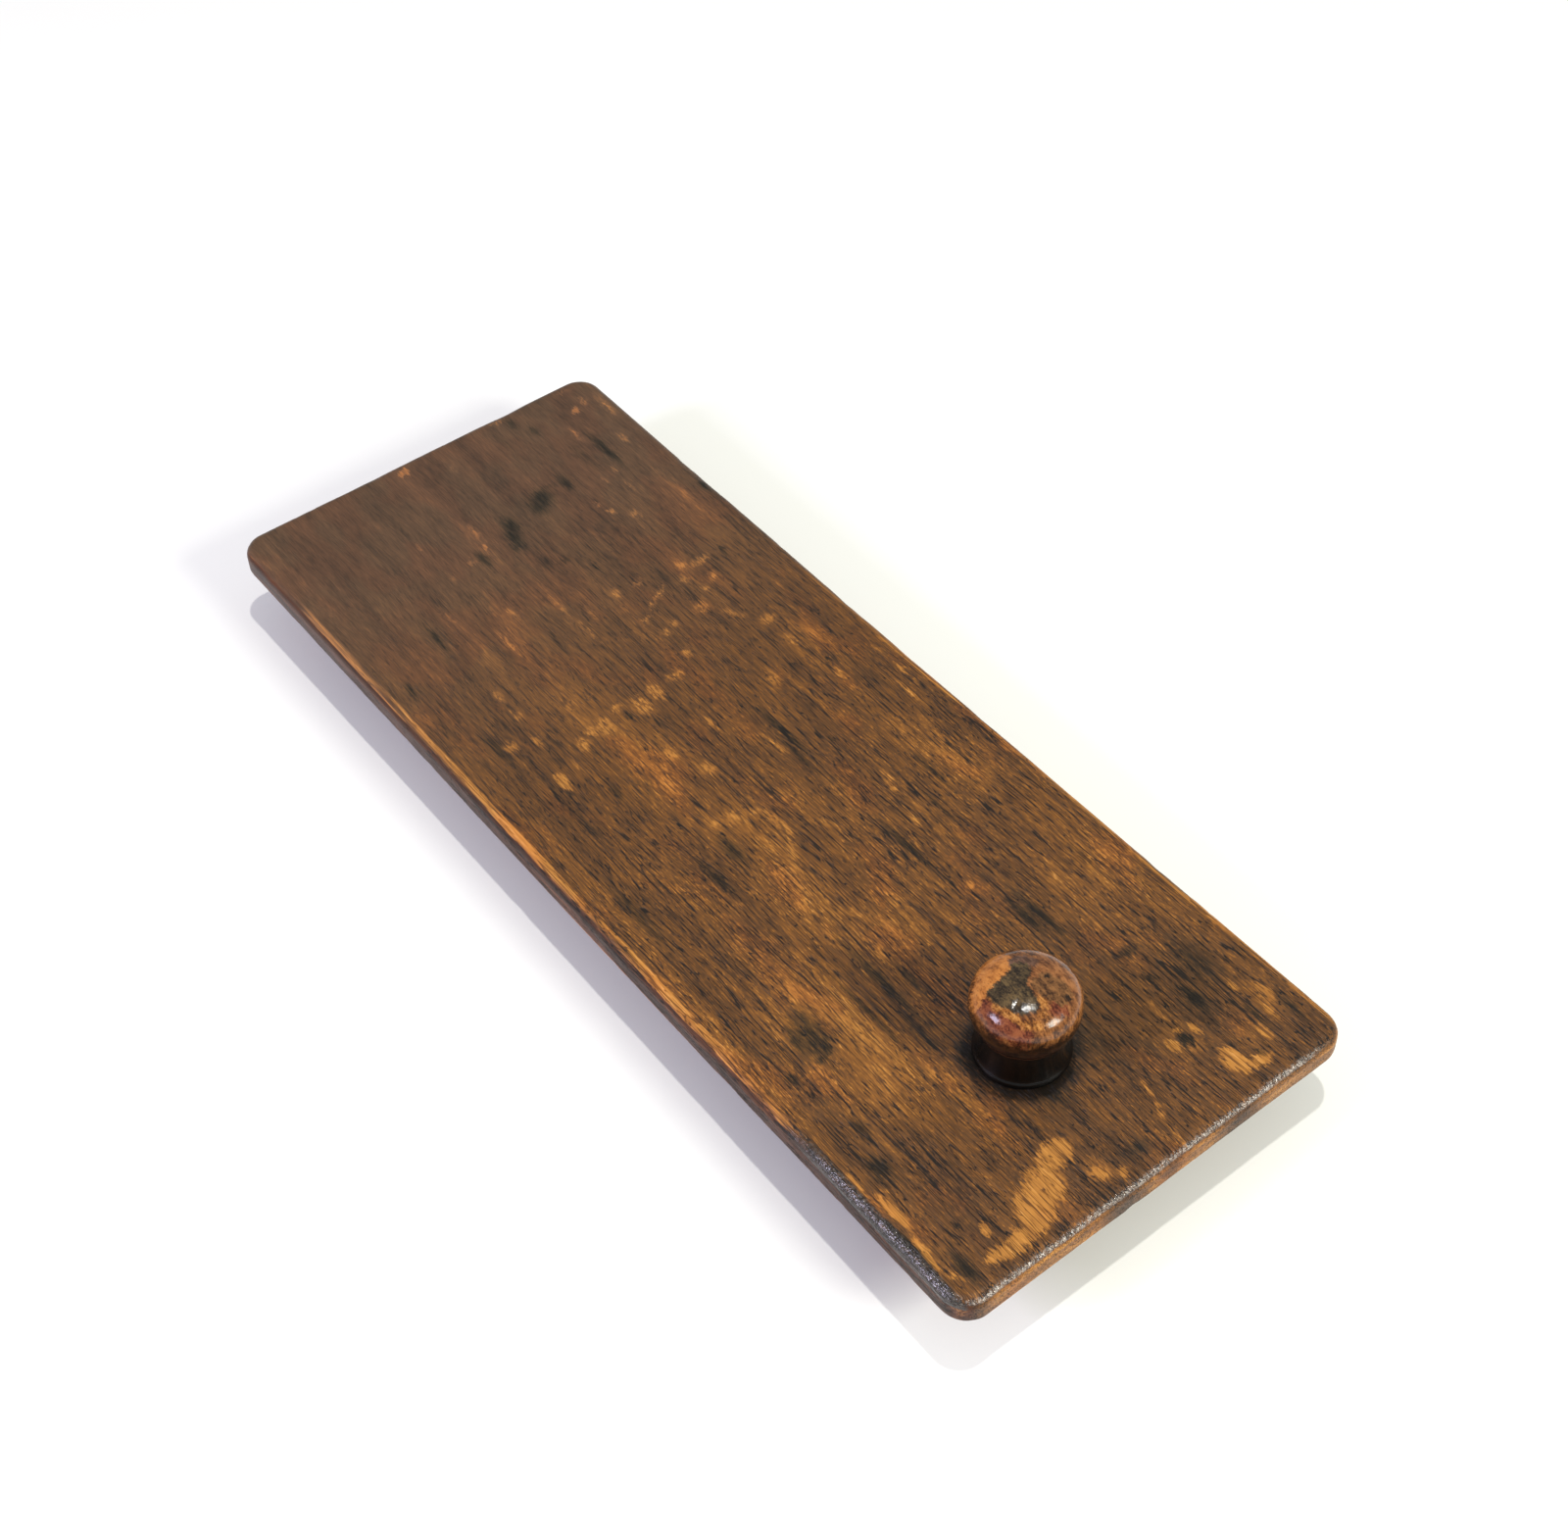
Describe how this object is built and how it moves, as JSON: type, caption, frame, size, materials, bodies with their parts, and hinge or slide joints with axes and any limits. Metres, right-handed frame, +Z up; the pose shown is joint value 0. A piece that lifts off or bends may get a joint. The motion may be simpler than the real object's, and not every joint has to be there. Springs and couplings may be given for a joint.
{
  "type": "sleeve ironing board",
  "caption": "Small rectangular pressing board of dark varnished wood on two cross battens, with a turned wooden hand knob near one end.",
  "frame": {"origin": "on the table, under the middle of the plank: the centre of the bottom of the bounding box, at the battens' underside", "axes": "+X along the plank towards the knob end, +Y across the plank away from the side the knob stands nearer to, +Z up"},
  "size_m": [0.3944, 0.152, 0.0647],
  "materials": {
    "plank_varnish": "worn dark brown varnish over open-grained golden wood, satin",
    "knob_varnish": "polished dark varnish, worn to orange wood on the crown, gloss",
    "batten_wood": "thin dark stain, matte",
    "screw_steel": "dulled, lightly rusted steel"
  },
  "bodies": {
    "root": {"plank": "plank_varnish", "knob": "knob_varnish", "knob_screw": "screw_steel", "batten_knob_end": "batten_wood", "batten_far_end": "batten_wood", "batten_screw_knob_end_1": "screw_steel", "batten_screw_knob_end_2": "screw_steel", "batten_screw_knob_end_3": "screw_steel", "batten_screw_far_end_1": "screw_steel", "batten_screw_far_end_2": "screw_steel", "batten_screw_far_end_3": "screw_steel"}
  },
  "joints": []
}
